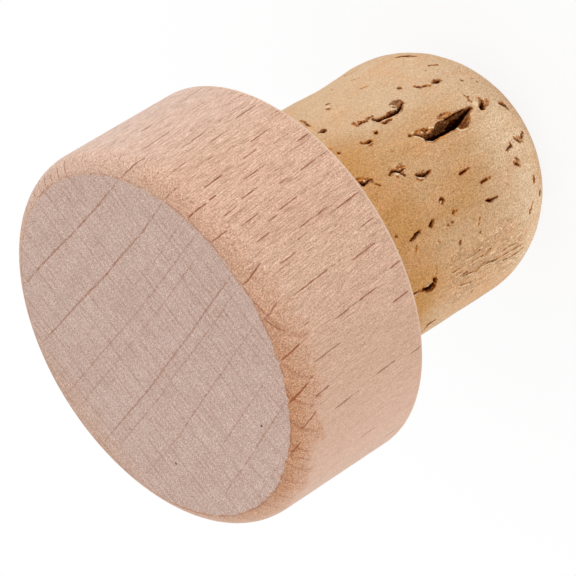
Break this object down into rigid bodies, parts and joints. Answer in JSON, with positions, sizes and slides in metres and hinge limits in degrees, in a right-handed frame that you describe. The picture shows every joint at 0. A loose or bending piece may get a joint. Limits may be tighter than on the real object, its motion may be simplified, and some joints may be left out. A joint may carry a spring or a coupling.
{
  "type": "bar-top bottle stopper",
  "caption": "Bar-top bottle stopper: a short turned beech head glued onto a round-ended plug of natural cork.",
  "frame": {"origin": "middle of the ground flat on the end of the cork, on which the stopper stands", "axes": "+Z runs along the stopper's axis from the cork's end to the flat face of the head, which is how it points in a bottle; the great crevice in the cork faces -37 degrees round Z from +X"},
  "size_m": [0.03, 0.03, 0.0353],
  "materials": {
    "beech": "bare turned beech, sanded, end grain greyer than the side, round-over burnished orange",
    "natural_cork": "natural one-piece cork, ground smooth, with dark brown pits and crevices",
    "dried_glue": "dried milky adhesive, hidden in the socket"
  },
  "bodies": {
    "root": {"wooden_head": "beech", "cork_plug": "natural_cork", "glue_bed": "dried_glue"}
  },
  "joints": []
}
